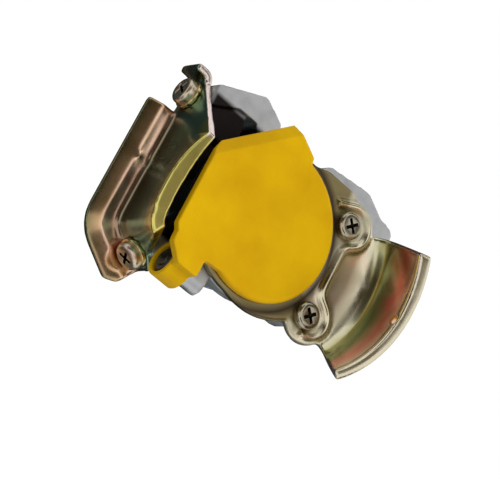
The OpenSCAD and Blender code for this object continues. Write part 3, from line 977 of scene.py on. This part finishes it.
@dataclass
class Claw:
    """Claw plate with its two screws."""

    cell: float = 0.34
    passes: int = 54
    screw_edge: float = 0.15

    def build(self, groups: EffectGroups) -> None:
        """Builds and dresses the plate and the screws.

        Args:
            groups: the shared effects.
        """
        plate = ClawPiece("claw_plate", Body.BASE, Slot.SHEET, cell=self.cell, passes=self.passes)
        plate.build(CLAW_PLATING_WITH_PAINTED_LIGHT.make(groups))
        plating = CLAW_SCREW_PLATING.make(groups)
        for node in ("claw_screw_upper", "claw_screw_lower"):
            ScrewPiece(node, Body.BASE, Slot.SCREW, self.screw_edge).build(plating)


@dataclass
class Guide:
    """Guide bracket with its two screws and washers."""

    passes: int = 16
    screw_edge: float = 0.15
    washer_edge: float = 0.2
    upper_axis: Point = (-1.0, 0.0, 0.0)
    lower_axis: Point = (-0.5, -0.866, 0.0)

    def build(self, groups: EffectGroups) -> None:
        """Builds and dresses the bracket, the screws and the washers.

        Args:
            groups: the shared effects.
        """
        bracket = GuidePiece("guide_bracket", Body.BASE, Slot.SHEET, passes=self.passes)
        bracket.build(GUIDE_PLATING_WITH_PAINTED_LIGHT.make(groups))
        plating = GUIDE_SCREW_PLATING.make(groups)
        for node, axis in (("guide_screw_upper", self.upper_axis), ("guide_screw_lower", self.lower_axis)):
            ScrewPiece(node, Body.BASE, Slot.SCREW, self.screw_edge, axis=axis).build(plating)
        plating = WASHER_PLATING.make(groups)
        for node in ("guide_washer_upper", "guide_washer_lower"):
            RoundedPiece(node, Body.BASE, Slot.WASHER, self.washer_edge).build(plating)


@dataclass
class Lid:
    """Flip lid with its pin, clip and spring."""

    passes: int = 4
    pin_edge: float = 0.25
    clip_edge: float = 0.15

    def build(self, groups: EffectGroups) -> None:
        """Builds and dresses the lid, the pin and the clip, and dresses the spring.

        Args:
            groups: the shared effects.
        """
        lid = SoftPiece("lid", Body.LID, Slot.LID, passes=self.passes)
        lid.build(YELLOW_MOULDING.make(groups))
        steel = OILED_STEEL.make(groups)
        RoundedPiece("hinge_pin", Body.BASE, Slot.PIN, self.pin_edge).build(steel)
        RoundedPiece("pin_clip", Body.BASE, Slot.PIN, self.clip_edge).build(steel)
        self.dress("lid_spring", steel)

    @staticmethod
    def dress(node: str, material: bpy.types.Material) -> None:
        """Gives a CAD node that needs no rounding its finish.

        Args:
            node: name of the CAD node.
            material: its finish.
        """
        data = frame["nodes"][node].data
        data.materials.clear()
        data.materials.append(material)
        LOG.info("%s: dressed as it is", node)


@dataclass
class Coupling:
    """The palm coupling's sub-assemblies."""

    casting: Casting = field(default_factory=Casting)
    claw: Claw = field(default_factory=Claw)
    guide: Guide = field(default_factory=Guide)
    lid: Lid = field(default_factory=Lid)

    def build(self) -> None:
        """Builds and dresses every piece."""
        groups = EffectGroups()
        for part in (self.casting, self.claw, self.guide, self.lid):
            part.build(groups)


def toward(heading: float, height: float) -> Point:
    """Place of a card round the part.

    Args:
        heading: angle from +X about +Z, in degrees.
        height: angle above the floor, in degrees.

    Returns:
        The place, in metres.
    """
    turn, rise = math.radians(heading), math.radians(height)
    flat = CARD_DISTANCE * math.cos(rise)
    return (flat * math.cos(turn), flat * math.sin(turn), CARD_DISTANCE * math.sin(rise))


def aimed(place: Point) -> Matrix:
    """Matrix of something at a place that faces the part.

    Args:
        place: where it stands, in metres.

    Returns:
        The matrix.
    """
    turn = (Vector(AIM) - Vector(place)).to_track_quat("-Z", "Y")
    return Matrix.Translation(place) @ turn.to_matrix().to_4x4()


@dataclass(frozen=True)
class Lamp:
    """Square soft lamp that mirrors don't show. Its place and side are in metres, its power in watts."""

    name: str
    place: Point
    side: float
    power: float

    def build(self) -> None:
        """Adds the lamp."""
        data = bpy.data.lights.new(self.name, "AREA")
        data.size = self.side
        data.energy = self.power
        lamp = bpy.data.objects.new(self.name, data)
        bpy.context.collection.objects.link(lamp)
        lamp.matrix_world = aimed(self.place)
        lamp.visible_glossy = False
        LOG.info("%s: lamp of %.1f W", self.name, self.power)


@dataclass(frozen=True)
class Card:
    """Dark card that only mirrors show, to shape the reflections. Its place and sides are in metres."""

    name: str
    place: Point
    width: float
    height: float
    colour: Colour
    rough: float = 0.9

    def build(self) -> None:
        """Adds the card."""
        deselect_all()
        bpy.ops.mesh.primitive_plane_add(size=1.0)
        card = bpy.context.object
        card.name = self.name
        card.scale = (self.width, self.height, 1.0)
        bpy.ops.object.transform_apply(location=False, rotation=False, scale=True)
        card.matrix_world = aimed(self.place)
        material, _, shader = blank_material(self.name)
        shader.inputs["Base Color"].default_value = rgba(self.colour)
        shader.inputs["Roughness"].default_value = self.rough
        shader.inputs["Specular IOR Level"].default_value = 0.0
        card.data.materials.append(material)
        card.visible_camera = False
        card.visible_diffuse = False
        card.visible_shadow = False
        LOG.info("%s: card", self.name)


LAMPS = (
    Lamp("key", (-0.55, 0.25, 0.85), 0.6, 2.6),
    Lamp("fill", (0.75, -0.45, 0.7), 0.7, 5.0),
    Lamp("top", (0.25, 0.35, 1.1), 0.5, 3.2))
CARDS = (
    Card("card_over", toward(142.0, 50.0), 0.80, 0.46, (0.09, 0.075, 0.05)),
    Card("card_flat", toward(54.0, 52.0), 0.50, 0.40, (0.22, 0.19, 0.13)),
    Card("card_near", toward(-92.0, 64.0), 0.50, 0.34, (0.05, 0.045, 0.03)),
    Card("card_left", toward(166.0, 20.0), 0.80, 0.52, (0.08, 0.065, 0.045)),
    Card("card_back", toward(75.0, 12.0), 0.80, 0.34, (0.03, 0.025, 0.02)),
    Card("card_right", toward(-25.0, 24.0), 0.80, 0.50, (0.04, 0.035, 0.03)),
    Card("card_front", toward(-127.0, 5.0), 0.90, 0.40, (0.05, 0.045, 0.04)),
    Card("card_below", (0.0, 0.0, FLOOR_Z + FLOOR_GAP), 0.7, 0.7, (0.06, 0.075, 0.075)))


@dataclass
class Studio:
    """Pale floor and surroundings, soft lamps and dark cards."""

    floor_side: float = 6.0
    floor_tone: Colour = (0.9, 0.9, 0.9)
    floor_rough: float = 0.9
    floor_glow: float = 1.06
    glow_share: float = 0.88
    world_tone: Colour = (0.75, 0.77, 0.8)
    world_glow: float = 0.4

    def build(self) -> None:
        """Builds the surroundings, the floor, the lamps and the cards."""
        self.make_world()
        self.make_floor()
        for thing in LAMPS + CARDS:
            thing.build()

    def make_world(self) -> None:
        """Even pale surroundings, white to the camera and in mirrors."""
        world = bpy.data.worlds.new("studio")
        bpy.context.scene.world = world
        world.use_nodes = True
        nodes = NodeTree(world.node_tree)
        pale = nodes.find("BACKGROUND")
        pale.inputs["Color"].default_value = rgba(self.world_tone)
        pale.inputs["Strength"].default_value = self.world_glow
        white = nodes.add("ShaderNodeBackground")
        white.inputs["Color"].default_value = rgba(WHITE)
        nodes.mix_shaders(nodes.background_rays(), pale, white, "OUTPUT_WORLD")

    def make_floor(self) -> None:
        """Large white floor well below the part."""
        deselect_all()
        bpy.ops.mesh.primitive_plane_add(size=self.floor_side, location=(0, 0, FLOOR_Z))
        floor = bpy.context.object
        floor.name = "floor"
        material, nodes, shader = blank_material("pale floor")
        shader.inputs["Base Color"].default_value = rgba(self.floor_tone)
        shader.inputs["Roughness"].default_value = self.floor_rough
        glow = nodes.add("ShaderNodeEmission")
        glow.inputs["Color"].default_value = rgba(WHITE)
        glow.inputs["Strength"].default_value = self.floor_glow
        share = nodes.compute("MULTIPLY", nodes.background_rays(), self.glow_share)
        nodes.mix_shaders(share, shader, glow, "OUTPUT_MATERIAL")
        floor.data.materials.append(material)
        LOG.info("floor: %.1f m wide", self.floor_side)


@dataclass
class PhotoCamera:
    """Camera at the photograph's viewing angle. Its place is in metres, its lens and sensor in mm."""

    place: Point = (-0.34755, -0.26041, 0.5931)
    turn_deg: Point = (1.663, -37.729, 33.077)
    lens: float = 166.77
    sensor: float = 36.0
    clip_start: float = 0.01

    def build(self) -> None:
        """Adds the camera and makes it the scene's own."""
        data = bpy.data.cameras.new("photo_camera")
        data.lens = self.lens
        data.sensor_width = self.sensor
        data.clip_start = self.clip_start
        camera = bpy.data.objects.new("photo_camera", data)
        bpy.context.collection.objects.link(camera)
        camera.location = self.place
        camera.rotation_euler = [math.radians(angle) for angle in self.turn_deg]
        bpy.context.scene.camera = camera


def main() -> None:
    """Builds the camera, the studio and the part."""
    logging.basicConfig(level=logging.INFO, format="%(name)s: %(message)s")
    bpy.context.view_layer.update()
    PhotoCamera().build()
    Studio().build()
    Coupling().build()
    bpy.context.scene.view_settings.view_transform = "Standard"
    bpy.context.view_layer.update()


if __name__ == "__main__":
    main()
